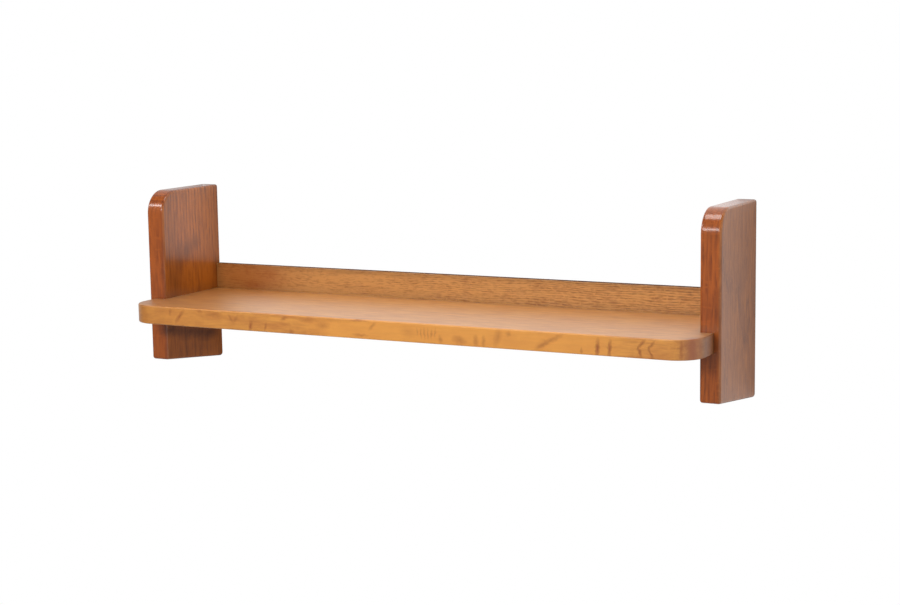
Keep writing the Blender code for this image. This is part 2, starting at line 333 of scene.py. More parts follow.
def add_node(tree, kind, sockets=None, stops=None, **settings):
    """Adds a shader node with its settings, a ramp's stops, and its sockets' values or links.

    A link is given as the socket it comes from, or as a node, which stands for its first output in use.
    """
    node = tree.nodes.new("ShaderNode" + kind)
    for name, value in settings.items():
        setattr(node, name, value)
    if stops:
        elements = node.color_ramp.elements
        while len(elements) < len(stops):
            elements.new(0.5)
        for element, (position, colour) in zip(elements, stops):
            element.position = position
            element.color = colour
    for name, value in (sockets or {}).items():
        if isinstance(value, bpy.types.Node):
            value = next(output for output in value.outputs if output.enabled)
        if isinstance(value, bpy.types.NodeSocket):
            tree.links.new(value, node.inputs[name])
        else:
            node.inputs[name].default_value = value
    return node


def grey(value):
    """A neutral colour."""
    return (value, value, value, 1.0)


def new_material(name):
    """A material and its empty tree."""
    material = bpy.data.materials.new(name)
    material.use_nodes = True
    material.node_tree.nodes.clear()
    return material, material.node_tree


def unit_scale(along, across, deep=None):
    """The factors that make a space's unit so many millimetres along, across and through the grain."""
    return [1 / (size * MM) for size in (along, across, deep or across)]


def stirred(tree, space, size, reach):
    """A space pushed about by noise of a size in millimetres, as far as a reach along each axis."""
    scaled = add_node(tree, "VectorMath", {0: space, 1: unit_scale(*size)}, operation="MULTIPLY")
    noise = add_node(tree, "TexNoise", {"Vector": scaled, "Scale": 1.0, "Detail": 2.0}).outputs["Color"]
    centred = add_node(tree, "VectorMath", {0: noise, 1: NOISE_MIDDLE}, operation="SUBTRACT")
    push = add_node(tree, "VectorMath", {0: centred, 1: reach}, operation="MULTIPLY")
    return add_node(tree, "VectorMath", {0: space, 1: push}, operation="ADD")


# Growth of the wood. The grain wavers over so many millimetres along and across, and drifts so far.
WAVER_SIZE = (240, 60)
WAVER_DRIFT = (0.0, 16 * MM, 16 * MM)
WAVE_FACTOR = 20  # what Blender's wave texture multiplies a distance by
RING_OPENNESS = ((0.0, 0.9), (0.25, 0.5), (0.5, 0.2), (0.88, 0.1), (1.0, 0.9))  # across one ring

# Vessel lines, as multiples of a dash's length and width
LINE_LENGTH = 4
LINE_WIDTH = 1.6

# Tones at which the stain is lightest and darkest
LIGHT_TONE = 0.2
DARK_TONE = 0.8

# Where each pattern begins to show and where it shows in full. Rays and lines go by their noise, dashes
# by the distance from their middle, rubbing by how far the rounded edge's facing agrees with the flat
# face's, and freedom from the painted shade and dirt by the open air about the wood.
RAY_SHOWS = {"From Min": 0.60, "From Max": 0.70}
DASH_SHOWS = {"From Min": 0.40, "From Max": 0.20}
LINE_SHOWS = {"From Min": 0.54, "From Max": 0.72}
RUBBING_SHOWS = {"From Min": 0.98, "From Max": 0.85}
UNSHADED_SHOWS = {"From Min": 0.1, "From Max": 1.0}

# Spots have ragged edges: the size of the raggedness in millimetres, and its reach
RAGGED_SIZE = (5, 5)
RAGGED_REACH = (5 * MM, 5 * MM, 5 * MM)

# Rubbing, and painted shade with some dirt: how near an edge or a corner they lie, and how dark the shade
# leaves the wood
RUBBING_REACH = 3 * MM
SHADE_AND_DIRT_REACH = 20 * MM
SHADE_AND_DIRT_TONE = 0.6

# Surface: open pores are sunk and rough, and the varnish nearly fills them
FIBRE_RELIEF = 0.4
WOOD_RELIEF = 0.3
VARNISH_RELIEF = 0.06
RELIEF_DEPTH = 0.3 * MM
WOOD_ROUGHNESS = 0.5
PORE_ROUGHNESS = 0.2
WOOD_IOR = 1.5
VARNISH_IOR = 1.5

# Ray flecks and darker stretches on the board's front edge: place along the board and above its mid
# thickness, width and height, all in millimetres, then lean to the right in degrees and weight.
BOARD_FLECKS = (
    (-405.0, 7.0, 5.0, 12.0, 10, 0.5),
    (-387.0, 1.0, 6.0, 26.0, 38, 0.8),
    (-348.0, 11.0, 12.0, 4.0, 0, 0.5),
    (-319.0, 8.0, 26.0, 8.0, 0, 0.6),
    (-289.0, 4.0, 5.0, 16.0, -35, 0.5),
    (-279.0, 3.0, 5.0, 14.0, 35, 0.4),
    (-255.0, -4.0, 110.0, 40.0, 0, 0.2),
    (-251.0, -7.0, 7.0, 15.0, 15, 0.8),
    (-223.0, -6.0, 4.0, 14.0, 10, 0.6),
    (-188.0, 9.0, 14.0, 6.0, -20, 0.7),
    (-175.0, -11.0, 9.0, 8.0, 0, 0.5),
    (-160.0, -11.0, 100.0, 9.0, 0, 0.2),
    (-146.0, 9.0, 34.0, 8.0, 0, 0.4),
    (-118.0, 2.0, 24.0, 14.0, 0, 0.45),
    (-105.0, 12.0, 90.0, 8.0, 0, 0.3),
    (-55.0, 13.5, 30.0, 4.0, 0, 0.65),
    (-51.0, -9.0, 26.0, 5.0, 0, 0.45),
    (-30.0, 6.0, 6.0, 18.0, 45, 0.45),
    (32.0, 0.0, 26.0, 16.0, 0, 0.25),
    (48.0, 2.0, 3.4, 12.0, -8, 0.4),
    (54.0, 0.0, 3.4, 15.0, -8, 0.45),
    (60.0, 0.0, 3.4, 18.0, -5, 0.45),
    (66.0, 0.0, 3.4, 18.0, 0, 0.45),
    (72.0, 0.0, 3.4, 16.0, 5, 0.45),
    (78.0, 2.0, 3.4, 14.0, 8, 0.45),
    (87.0, -7.0, 7.0, 13.0, -15, 0.5),
    (119.0, -6.0, 24.0, 12.0, 10, 0.5),
    (146.0, -6.0, 9.0, 18.0, 0, 0.5),
    (159.0, -6.0, 6.0, 18.0, 0, 0.45),
    (182.0, 2.0, 12.0, 26.0, 15, 0.4),
    (200.0, 8.0, 9.0, 8.0, 0, 0.4),
    (252.0, -6.0, 12.0, 22.0, 50, 0.35),
    (267.0, 2.0, 7.0, 46.0, 62, 0.5),
    (316.0, -10.0, 4.5, 12.0, 0, 0.5),
    (341.0, -4.0, 6.5, 26.0, 4, 1.0),
    (359.5, -4.0, 6.5, 26.0, 4, 0.9),
    (408.0, 6.0, 4.5, 16.0, 40, 0.9),
    (405.5, -6.0, 4.5, 16.0, -20, 0.9),
    (423.0, 5.0, 4.5, 16.0, 40, 0.8),
    (422.0, -7.0, 4.5, 18.0, -25, 0.9),
    (466.0, 0.0, 5.0, 34.0, 0, 0.8),
)
FLECK_DEPTH = 28.0  # their size from front to back, in millimetres
# Painted shade on the board's right front corner, set out in full as every spot is: its middle and
# sizes along X, Y and Z, its lean and its weight
CORNER_SHADE = (479.0, -224.0, -15.0, 21.0, 44.0, 120.0, 0, 1.0)
# Paler stretches of the board's front edge: a long one right of the middle, and a faint one at the left
BOARD_PALE = (
    (113.0, -239.0, -15.0, 436.0, 12.0, 90.0, 0, 3.0),
    (-400.0, -239.0, -15.0, 200.0, 24.0, 90.0, 0, 0.3),
)
# The most of a mark's colour that shows, in dark marks and in pale ones
DARK_MOST = 0.85
PALE_MOST = 0.65


def varnished_oak(
    name,
    light,
    dark,
    pore,
    turn,
    pith,
    ring_width,
    blotch,
    fibre,
    dash,
    ray,
    shares,
    lines,
    pores,
    silk,
    varnish,
    rubbing=0.15,
    sheen=0.1,
    fading=None,
    tints_and_painted_light=(),
    marks_and_painted_shadows=(),
):
    """Oak, stained and varnished.

    Oak has wide growth rings whose early wood is a band of open pores, drawn out along the grain as
    short dashes that the stain darkens. Rays show as silky flecks across the grain. The edges are
    rubbed paler, and the corners and the wood just under the board are darkened by painted shade, with
    some dirt in the joints. A clear varnish lies over all, nearly level, so lights show in it.

    Blotches, fibres, dashes and rays are given by their sizes in millimetres, and shares are how much
    fibres, rings and blotches count in the tone. Fading is an axis, the place where the rings and pores
    show least, the place where they show in full, and the share that shows least. Tones tint the stain
    from one place to another along an axis; some of them are painted shade, and one is a painted
    reflection. Markings are sets of soft spots, some of them painted shadow, each with its colour, the
    most of it that shows, and its spots: their middle and sizes along X, Y and Z in millimetres, their
    lean to the right in degrees, and their weight.
    """
    material, tree = new_material(name)
    node = partial(add_node, tree)

    def pattern(size, detail=3.0):
        """Noise through the grown wood, with grains of a size in millimetres."""
        space = node("VectorMath", {0: grown, 1: unit_scale(*size)}, operation="MULTIPLY")
        return node("TexNoise", {"Vector": space, "Scale": 1.0, "Detail": detail})

    place = node("TexCoord").outputs["Object"]
    axes = node("SeparateXYZ", {"Vector": place}).outputs
    # Along the grain is X from here on, and the pith runs along Y = Z = 0.
    laid = node("Mapping", {"Vector": place, "Rotation": turn})
    wood = node("VectorMath", {0: laid, 1: pith}, operation="SUBTRACT")
    grown = stirred(tree, wood, WAVER_SIZE, WAVER_DRIFT)

    # Growth rings: the early wood is open, the late wood dense
    rings = node(
        "TexWave",
        {"Vector": grown, "Scale": math.tau / WAVE_FACTOR / ring_width, "Distortion": 0.0},
        wave_type="RINGS",
        rings_direction="X",
        wave_profile="SAW",
    )
    ring_stops = [(position, grey(openness)) for position, openness in RING_OPENNESS]
    early = node("ValToRGB", {"Fac": rings.outputs["Fac"]}, ring_stops)
    if fading:
        axis, least_at, full_at, least = fading
        share = node("MapRange", {"Value": axes[axis], "From Min": least_at, "From Max": full_at})
        shown = node("Math", {0: share, 1: 1 - least, 2: least}, operation="MULTIPLY_ADD")
        early = node("Math", {0: early, 1: shown}, operation="MULTIPLY")

    # Tone of the wood, from fibres, rings and blotches where the stain took unevenly. It starts low
    # enough that the tone is a half where all three are.
    fibres = pattern(fibre)
    tone = 0.5 - sum(shares) / 2
    for layer, share in zip((fibres, early, pattern(blotch)), shares):
        tone = node("Math", {0: layer, 1: share, 2: tone}, operation="MULTIPLY_ADD")
    colour = node("ValToRGB", {"Fac": tone}, [(LIGHT_TONE, light), (DARK_TONE, dark)])

    # Rays, silky and paler
    rays = node("MapRange", {"Value": pattern(ray, detail=1.0), **RAY_SHOWS})
    sheer = node("Math", {0: rays, 1: silk}, operation="MULTIPLY")
    colour = node("Mix", {0: sheer, "A": colour, "B": light}, data_type="RGBA")

    # Pores, 0.3 mm wide on the tree and drawn as wider dashes so that they show. They run on as faint
    # lines.
    dash_space = node("VectorMath", {0: grown, 1: unit_scale(*dash)}, operation="MULTIPLY")
    cells = node("TexVoronoi", {"Vector": dash_space, "Scale": 1.0}).outputs["Distance"]
    dashes = node("MapRange", {"Value": cells, **DASH_SHOWS})
    open_dashes = node("Math", {0: dashes, 1: early}, operation="MULTIPLY")
    pore_depth = node("Math", {0: open_dashes, 1: pores}, operation="MULTIPLY")
    vessels = pattern((LINE_LENGTH * dash[0], LINE_WIDTH * dash[1]), detail=2.0)
    vessel_lines = node("MapRange", {"Value": vessels, **LINE_SHOWS})
    line_depth = node("Math", {0: vessel_lines, 1: lines}, operation="MULTIPLY")
    depth = node("Math", {0: pore_depth, 1: line_depth}, operation="MAXIMUM")
    colour = node("Mix", {0: depth, "A": colour, "B": pore}, data_type="RGBA")

    # Tints along an axis, some of them painted shade and one a painted reflection
    for axis, first, last, tint_first, tint_last in tints_and_painted_light:
        share = node("MapRange", {"Value": axes[axis], "From Min": first, "From Max": last})
        tint = node("Mix", {0: share, "A": tint_first, "B": tint_last}, data_type="VECTOR")
        colour = node("VectorMath", {0: colour, 1: tint}, operation="MULTIPLY")

    # Soft spots of colour: marks in the wood, and some painted shadows
    for mark_colour, most, spots in marks_and_painted_shadows:
        ragged = stirred(tree, place, RAGGED_SIZE, RAGGED_REACH)
        marks = 0.0
        for x, y, z, wide, deep, high, lean, weight in spots:
            sockets = {
                "Vector": ragged,
                "Location": (x * MM, y * MM, z * MM),
                "Rotation": (0.0, math.radians(lean), 0.0),
                "Scale": [size * MM * SPOT_SPREAD for size in (wide, deep, high)],
            }
            about = node("Mapping", sockets, vector_type="TEXTURE")
            spot = node("TexGradient", {"Vector": about}, gradient_type="SPHERICAL").outputs["Fac"]
            marks = node("Math", {0: spot, 1: weight, 2: marks}, operation="MULTIPLY_ADD")
        marks = node("Math", {0: marks, 1: most}, operation="MINIMUM")
        colour = node("Mix", {0: marks, "A": colour, "B": mark_colour}, data_type="RGBA")

    # Rubbed edges are paler, and the corners and the wood just under the board get painted shade, with some
    # dirt
    softened = node("Bevel", {"Radius": RUBBING_REACH}, samples=4)
    facing = node("NewGeometry").outputs["True Normal"]
    agreement = node("VectorMath", {0: softened, 1: facing}, operation="DOT_PRODUCT")
    edges = node("MapRange", {"Value": agreement, **RUBBING_SHOWS})
    rubbed = node("Math", {0: edges, 1: rubbing}, operation="MULTIPLY")
    colour = node("Mix", {0: rubbed, "A": colour, "B": light}, data_type="RGBA")
    open_air = node("AmbientOcclusion", {"Distance": SHADE_AND_DIRT_REACH}, samples=6).outputs["AO"]
    unshaded = node("MapRange", {"Value": open_air, **UNSHADED_SHOWS})
    shade_and_dirt = node("Math", {0: unshaded, 1: 1 - SHADE_AND_DIRT_TONE, 2: SHADE_AND_DIRT_TONE}, operation="MULTIPLY_ADD")
    colour = node("VectorMath", {0: colour, "Scale": shade_and_dirt}, operation="SCALE")

    sunk = node("Math", {0: depth, 1: -1.0}, operation="MULTIPLY")
    height = node("Math", {0: fibres, 1: FIBRE_RELIEF, 2: sunk}, operation="MULTIPLY_ADD")
    bumps = []
    for strength in (WOOD_RELIEF, VARNISH_RELIEF):
        bumps.append(node("Bump", {"Height": height, "Strength": strength, "Distance": RELIEF_DEPTH}))
    roughness = node("Math", {0: depth, 1: PORE_ROUGHNESS, 2: WOOD_ROUGHNESS}, operation="MULTIPLY_ADD")
    shader = node(
        "BsdfPrincipled",
        {
            "Base Color": colour,
            "Roughness": roughness,
            "IOR": WOOD_IOR,
            "Specular IOR Level": sheen,
            "Coat Weight": 1.0 if varnish else 0.0,
            "Coat Roughness": varnish,
            "Coat IOR": VARNISH_IOR,
            "Normal": bumps[0],
            "Coat Normal": bumps[1],
        },
    )
    node("OutputMaterial", {"Surface": shader})
    return material


# Zinc plating: widths of its crystals and of its haze, where the haze begins and how dark it gets, and
# the plating's roughness and relief
CRYSTAL_WIDTH = 1.6 * MM
HAZE_WIDTH = 4 * MM
HAZE_START = 0.4
HAZE_TONE = 0.72
ZINC_ROUGHNESS = {"To Min": 0.28, "To Max": 0.45}
ZINC_RELIEF = {"Strength": 0.1, "Distance": 0.2 * MM}


def zinc_plated_steel(name, colour):
    """Steel with bright zinc plating: a soft grey metal with faint crystals and a little haze."""
    material, tree = new_material(name)
    place = add_node(tree, "TexCoord").outputs["Object"]
    crystals = add_node(tree, "TexVoronoi", {"Vector": place, "Scale": 1 / CRYSTAL_WIDTH})
    haze = add_node(tree, "TexNoise", {"Vector": place, "Scale": 1 / HAZE_WIDTH, "Detail": 4.0})
    mixed = add_node(tree, "Math", {0: crystals.outputs["Distance"], 1: haze}, operation="ADD")
    dull = [channel * HAZE_TONE for channel in colour[:3]] + [1.0]
    tint = add_node(tree, "ValToRGB", {"Fac": mixed}, [(HAZE_START, colour), (1.0, dull)])
    rough = add_node(tree, "MapRange", {"Value": mixed, **ZINC_ROUGHNESS})
    relief = add_node(tree, "Bump", {"Height": mixed, **ZINC_RELIEF})
    sockets = {"Base Color": tint, "Metallic": 1.0, "Roughness": rough, "Normal": relief}
    shader = add_node(tree, "BsdfPrincipled", sockets)
    add_node(tree, "OutputMaterial", {"Surface": shader})
    return material


def screw_hole(low, high):
    """What is cut out of a piece for a countersunk screw, from the screw's box. Its head is at high.y."""
    middle = (low + high) / 2
    radius = (high.x - low.x) / 2
    shank = radius / 2 + FIT_GAP
    head = radius + FIT_GAP
    end = low.y - high.y - FIT_GAP
    profile = [
        (0, CUT_OVERRUN),
        (head, CUT_OVERRUN),
        (head, 0),
        (shank, shank - head),
        (shank, end),
        (0, end),
    ]
    return turned(profile, (middle.x, high.y, middle.z))


def keyhole_pocket(sizes, middle):
    """The hollow behind a keyhole plate, a little wider than the entry, with round ends."""
    radius = sizes.keyhole_entry + sizes.pocket_margin
    lower = arc((middle.x, middle.z - sizes.keyhole_rise / 2), radius, math.pi, math.tau)
    return lower + arc((middle.x, middle.z + sizes.keyhole_rise / 2), radius, 0, math.pi)


SIDE_GRAIN_LEAN = 1.2  # degrees by which the grain leans off upright, either way
SIDE_VARNISH = 0.17  # roughness of the sides' varnish
# How each side's grain lies and looks. The left one is cut across the rings, so they stand as close
# lines on its inner face. It is browner there, and darker towards its foot, a painted shade that
# deepens below the board. The right one is cut along the rings, so they show as lines on its front
# and broad figures on its outer face, which is tinted greyer. Both darken towards the wall, a painted
# shade where the wall shuts out light.
SIDE_LOOKS = {
    "left": {
        "pith": (0.0, 1.5, 0.48),
        "ring_width": 9 * MM,
        "blotch": (90, 30),
        "fibre": (34, 4.5),
        "dash": (22, 4),
        "ray": (6, 2.5, 30),
        "shares": (1.2, 0.5, 0.5),
        "lines": 0.3,
        "pores": 0.6,
        "silk": 0.6,
        "rubbing": 0.05,
        "fading": ("Z", 30 * MM, 150 * MM, 0.15),
        "tints_and_painted_light": (
            ("X", -INNER_HALF - 7 * MM, -INNER_HALF - 3.5 * MM, (0.89, 0.87, 0.86), (0.74, 0.70, 0.68)),
            ("X", -INNER_HALF - 2.5 * MM, -INNER_HALF - 0.3 * MM, (1, 1, 1), (1.37, 1.78, 1.45)),
            # Darker towards the foot: painted shade, deepest below the board
            ("Z", RIGHT_SIDE_LOW.z, SIDE_TOP_Z / 2, (0.85, 0.82, 0.8), (1, 1, 1)),
            # Darker towards the wall: painted shade where the wall shuts out light
            ("Y", -45 * MM, -5 * MM, (1, 1, 1), (0.86, 0.84, 0.84)),
        ),
    },
    "right": {
        "pith": (0.3, -0.12, -2.5),
        "ring_width": 7 * MM,
        "blotch": (120, 50),
        "fibre": (30, 4),
        "dash": (24, 3),
        "ray": (6, 2.5, 30),
        "shares": (1.1, 0.2, 0.5),
        "lines": 0.3,
        "pores": 0.5,
        "silk": 0.6,
        "tints_and_painted_light": (
            ("X", OUTER_HALF - 5 * MM, OUTER_HALF - 1 * MM, (1, 1, 1), (0.97, 1.33, 2.2)),
            # Darker towards the wall: painted shade where the wall shuts out light
            ("Y", -28 * MM, -2 * MM, (1, 1, 1), (0.82, 0.81, 0.78)),
        ),
    },
}
# Dark patches, set out in full as the board's corner shade is: on the left side's inner face along its
# front edge and above the board, and under the board a painted shadow of it; on the right side's front,
# a dark patch above the board and a painted shadow beside the board's end
SIDE_SPOTS_AND_SHADOWS = {
    "left": (
        (-468.0, -148.0, 85.0, 12.0, 55.0, 300.0, 0, 0.4),
        # Painted shade of the board, low on the face under it
        (-468.0, -80.0, -95.0, 14.0, 220.0, 60.0, 0, 0.35),
        (-470.0, -118.0, 66.0, 30.0, 30.0, 50.0, 0, 0.5),
        (-470.0, -96.0, 74.0, 30.0, 26.0, 40.0, 0, 0.55),
        (-470.0, -74.0, 86.0, 30.0, 24.0, 30.0, 0, 0.45),
        (-470.0, -125.0, 20.0, 30.0, 60.0, 70.0, 0, 0.35),
        # Painted shadow of the board, a band just under it
        (-470.0, -150.0, -54.0, 30.0, 80.0, 26.0, 0, 0.8),
        (-470.0, -95.0, -64.0, 30.0, 80.0, 26.0, 0, 0.8),
        (-470.0, -40.0, -74.0, 30.0, 80.0, 26.0, 0, 0.8),
    ),
    "right": (
        (493.0, -164.0, 30.0, 16.0, 20.0, 60.0, 0, 0.4),
        # Painted shadow beside the board's end
        (486.0, -164.0, -24.0, 40.0, 20.0, 60.0, 0, 0.4),
    ),
}
# The board's grain is plain and fine. Its varnish is duller than the sides'.
BOARD_LOOKS = {
    "turn": (0, 0, 0),
    "pith": (0.0, -0.20, -0.10),
    "ring_width": 5 * MM,
    "blotch": (45, 9),
    "fibre": (14, 3),
    "dash": (11, 1.1),
    "ray": (14, 1.6, 30),
    "shares": (0.6, 0.1, 1.1),
    "lines": 0.07,
    "pores": 0.08,
    "silk": 0.3,
    "rubbing": 0.0,
    "sheen": 0.35,
    "varnish": 0.42,
}
# The board's top is greyer behind its front edge, a painted reflection of the pale wall and room, and
# its two ends are darker: painted shade beside the sides, broad at the left and deepest at the right
# where the board meets the right side.
BOARD_PAINTED_LIGHT = (
    # Painted reflection: the top greyer and bluer than the front edge
    ("Y", BOARD_FRONT_Y + 2 * MM, BOARD_FRONT_Y + 12 * MM, (1, 1, 1), (0.97, 1.04, 1.6)),
    # Painted shade from the left side
    ("X", -BOARD_HALF, -BOARD_HALF + 260 * MM, (0.68, 0.60, 0.45), (1, 1, 1)),
    # Painted shade beside the right side, deepest in the last few millimetres
    ("X", BOARD_HALF - 40 * MM, BOARD_HALF, (1, 1, 1), (0.74, 0.72, 0.72)),
    ("X", BOARD_HALF - 4.5 * MM, BOARD_HALF, (1, 1, 1), (0.52, 0.40, 0.32)),
)
# The rail's grain is coarse and open, and plainer towards its left end.
RAIL_LOOKS = {
    "turn": (math.radians(70), 0, 0),
    "pith": (0.7, 0.02, -0.09),
    "ring_width": 2.6 * MM,
    "blotch": (60, 12),
    "fibre": (10, 2.6),
    "dash": (17, 2.6),
    "ray": (5, 6, 30),
    "shares": (1.6, 0.6, 0.7),
    "lines": 0.2,
    "pores": 0.65,
    "silk": 0.7,
    "fading": ("X", -0.25, 0.25, 0.25),
}
RAIL_VARNISH = 0.3  # roughness of the rail's varnish
# The rail is darker along its top and paler towards the right. It is redder over its left end, by soft
# spots that are set out in full as the board's corner shade is.
RAIL_TONES = (
    ("Z", RAIL_HIGH.z - 10 * MM, RAIL_HIGH.z, (1, 1, 1), (0.74, 0.72, 0.72)),
    ("X", -0.3, 0.3, (1.02, 0.98, 0.95), (1.16, 1.17, 1.17)),
)
RAIL_SPOTS = (
    (-430.0, -12.0, 20.0, 170.0, 60.0, 90.0, 0, 0.5),
    (-365.0, -12.0, 16.0, 120.0, 60.0, 80.0, 0, 0.35),
    (-395.0, -12.0, 8.0, 40.0, 20.0, 16.0, 0, 0.2),
    (-355.0, -12.0, 30.0, 30.0, 20.0, 14.0, 0, 0.2),
)


class SHELF_OT_add_sides(bpy.types.Operator):
    """Adds the two upright sides, with their housings and the hollows behind the keyhole plates"""

    bl_idname = "shelf.add_sides"
    bl_label = "Add sides"

    def execute(self, context):
        sizes = context.scene.shelf_sizes
        colours = context.scene.shelf_colours
        for hand, direction in HANDS.items():
            material = varnished_oak(
                hand + "_side_varnished_oak",
                colours.side_light,
                colours.side_dark,
                colours.pore,
                turn=(0, math.radians(90.0 - SIDE_GRAIN_LEAN * direction), 0),
                varnish=SIDE_VARNISH,
                # The pore stain colours the sides' spots, the painted shadows among them
                marks_and_painted_shadows=((colours.pore, DARK_MOST, SIDE_SPOTS_AND_SHADOWS[hand]),),
                **SIDE_LOOKS[hand],
            )
            corners = [
                (SIDE_FRONT_Y, -sizes.foot_front, 0),
                (0, -sizes.foot_back, sizes.heel_radius),
                (0, SIDE_TOP_Z, 0),
                (SIDE_FRONT_Y, SIDE_TOP_Z, sizes.brow_radius),
            ]
            shape = prism(rounded(corners), direction * INNER_HALF, direction * OUTER_HALF, "X")
            ease(shape, sharp_edges(shape), sizes.side_ease)
            housing = rectangle((SIDE_FRONT_Y - CUT_OVERRUN, -BOARD_THICKNESS), (BOARD_BACK_Y + FIT_GAP, 0))
            housing_end = direction * (OUTER_HALF - sizes.housing_wall)
            plate_low, plate_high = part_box(hand + "_keyhole_plate")
            recess_floor = plate_low.y - FIT_GAP
            recess_low = (plate_low.x - FIT_GAP, plate_low.z - FIT_GAP)
            recess_high = (plate_high.x + FIT_GAP, plate_high.z + FIT_GAP)
            recess_corner = sizes.plate_corner + FIT_GAP
            recess = rounded([(u, v, recess_corner) for u, v in rectangle(recess_low, recess_high)])
            pocket = keyhole_pocket(sizes, (plate_low + plate_high) / 2)
            cutters = [
                prism(housing, direction * (INNER_HALF - CUT_OVERRUN), housing_end, "X"),
                prism(recess, recess_floor, CUT_OVERRUN, "Y"),
                prism(pocket, recess_floor - sizes.pocket_depth, CUT_OVERRUN, "Y"),
            ]
            for level in ("lower", "upper"):
                cutters.append(screw_hole(*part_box(f"{hand}_plate_screw_{level}")))
            side = carved(hand + "_oak_side", shape, cutters)
            dress(side, [material], hand + "_side")
        return {"FINISHED"}


class SHELF_OT_add_board(bpy.types.Operator):
    """Adds the shelf board, with its rounded front corners and thinned ends"""

    bl_idname = "shelf.add_board"
    bl_label = "Add board"

    def execute(self, context):
        sizes = context.scene.shelf_sizes
        colours = context.scene.shelf_colours
        # The corner's painted shade, then the flecks
        flecks = [CORNER_SHADE]
        for x, rise, wide, high, lean, weight in BOARD_FLECKS:
            level = rise - BOARD_THICKNESS / 2 / MM
            flecks.append((x, BOARD_FRONT_Y / MM, level, wide, FLECK_DEPTH, high, lean, weight))
        material = varnished_oak(
            "board_varnished_oak",
            colours.board_light,
            colours.board_dark,
            colours.pore,
            tints_and_painted_light=BOARD_PAINTED_LIGHT,
            marks_and_painted_shadows=((colours.board_pale, PALE_MOST, BOARD_PALE), (colours.fleck_and_shade, DARK_MOST, flecks)),
            **BOARD_LOOKS,
        )
        corners = [
            (-BOARD_HALF, BOARD_FRONT_Y, sizes.board_corner),
            (BOARD_HALF, BOARD_FRONT_Y, sizes.board_corner),
            (BOARD_HALF, BOARD_BACK_Y, 0),
            (-BOARD_HALF, BOARD_BACK_Y, 0),
        ]
        shape = prism(rounded(corners), -BOARD_THICKNESS, 0, "Z")
        back_face = BOARD_BACK_Y - MERGE_DISTANCE
        eased = [edge for edge in sharp_edges(shape) if min(vert.co.y for vert in edge.verts) < back_face]
        ease(shape, eased, sizes.board_ease)
        cutters = [screw_hole(*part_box(f"rail_screw_{i + 1}")) for i in range(RAIL_SCREW_COUNT)]
        for direction in HANDS.values():
            across = sorted([direction * (INNER_HALF - FIT_GAP), direction * (BOARD_HALF + CUT_OVERRUN)])
            along = [SIDE_FRONT_Y - FIT_GAP, BOARD_BACK_Y + CUT_OVERRUN]
            relief = rectangle((across[0], along[0]), (across[1], along[1]))
            cutters.append(prism(relief, -FIT_GAP, CUT_OVERRUN, "Z"))
            cutters.append(prism(relief, -BOARD_THICKNESS - CUT_OVERRUN, -BOARD_THICKNESS + FIT_GAP, "Z"))
        board = carved("oak_shelf_board", shape, cutters)
        dress(board, [material], "shelf_board")
        return {"FINISHED"}


class SHELF_OT_add_rail(bpy.types.Operator):
    """Adds the rail behind the board, varnished but for its top"""

    bl_idname = "shelf.add_rail"
    bl_label = "Add rail"

    def execute(self, context):
        sizes = context.scene.shelf_sizes
        colours = context.scene.shelf_colours
        varnished = varnished_oak(
            "rail_varnished_oak",
            colours.rail_light,
            colours.rail_dark,
            colours.pore,
            varnish=RAIL_VARNISH,
            tints_and_painted_light=RAIL_TONES,
            marks_and_painted_shadows=((colours.fleck_and_shade, DARK_MOST, RAIL_SPOTS),),
            **RAIL_LOOKS,
        )
        bare = varnished_oak(
            "rail_top_bare_oak",
            colours.bare_light,
            colours.bare_dark,
            colours.pore,
            rubbing=0.0,
            sheen=0.0,
            varnish=0.0,
            **RAIL_LOOKS,
        )
        profile = rectangle((RAIL_LOW.y, RAIL_LOW.z), (RAIL_HIGH.y, RAIL_HIGH.z))
        shape = prism(profile, RAIL_LOW.x, RAIL_HIGH.x, "X")
        top_edges = []
        for edge in sharp_edges(shape):
            start, end = (vert.co for vert in edge.verts)
            if min(start.z, end.z) > 0 and abs(start.x - end.x) > FIT_GAP:
                top_edges.append(edge)
        ease(shape, top_edges, sizes.rail_ease)
        cutters = [screw_hole(*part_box(f"rail_screw_{i + 1}")) for i in range(RAIL_SCREW_COUNT)]
        rail = carved("oak_back_rail", shape, cutters)
        dress(rail, [varnished, bare], "back_rail")
        for face in rail.data.polygons:
            face.material_index = int(face.center.z > RAIL_HIGH.z - MERGE_DISTANCE)
        return {"FINISHED"}


class SHELF_OT_finish_steel(bpy.types.Operator):
    """Gives the keyhole plates and the screws their zinc plating"""

    bl_idname = "shelf.finish_steel"
    bl_label = "Finish steel"

    def execute(self, context):
        material = zinc_plated_steel("zinc_plated_steel", list(context.scene.shelf_colours.zinc))
        for name, node in frame["nodes"].items():
            if "plate" not in name and "screw" not in name:
                continue
            if not node.material_slots:
                raise RuntimeError(f"{name} has no material slot to finish")
            for slot in node.material_slots:
                slot.material = material
        return {"FINISHED"}


# The camera as it was fitted to the photograph's straight edges, with lens and sensor in millimetres
CAMERA_PLACE = (1.3382, -2.6326, 0.4281)
CAMERA_YAW = math.radians(27.272)
CAMERA_PITCH = math.radians(8.312)
CAMERA_ROLL = math.radians(-0.886)
CAMERA_LENS = 73.155
SENSOR_WIDTH = 36.0


def add_camera():
    """The camera at the photograph's viewing angle, turned by yaw, then tipped down, then rolled."""
    data = bpy.data.cameras.new("camera")
    data.lens = CAMERA_LENS
    data.sensor_width = SENSOR_WIDTH
    camera = add_object("camera", data)
    turn = Matrix.Rotation(CAMERA_YAW, 4, "Z") @ Matrix.Rotation(math.pi / 2 - CAMERA_PITCH, 4, "X")
    camera.matrix_world = Matrix.Translation(CAMERA_PLACE) @ turn @ Matrix.Rotation(CAMERA_ROLL, 4, "Z")
    bpy.context.scene.camera = camera


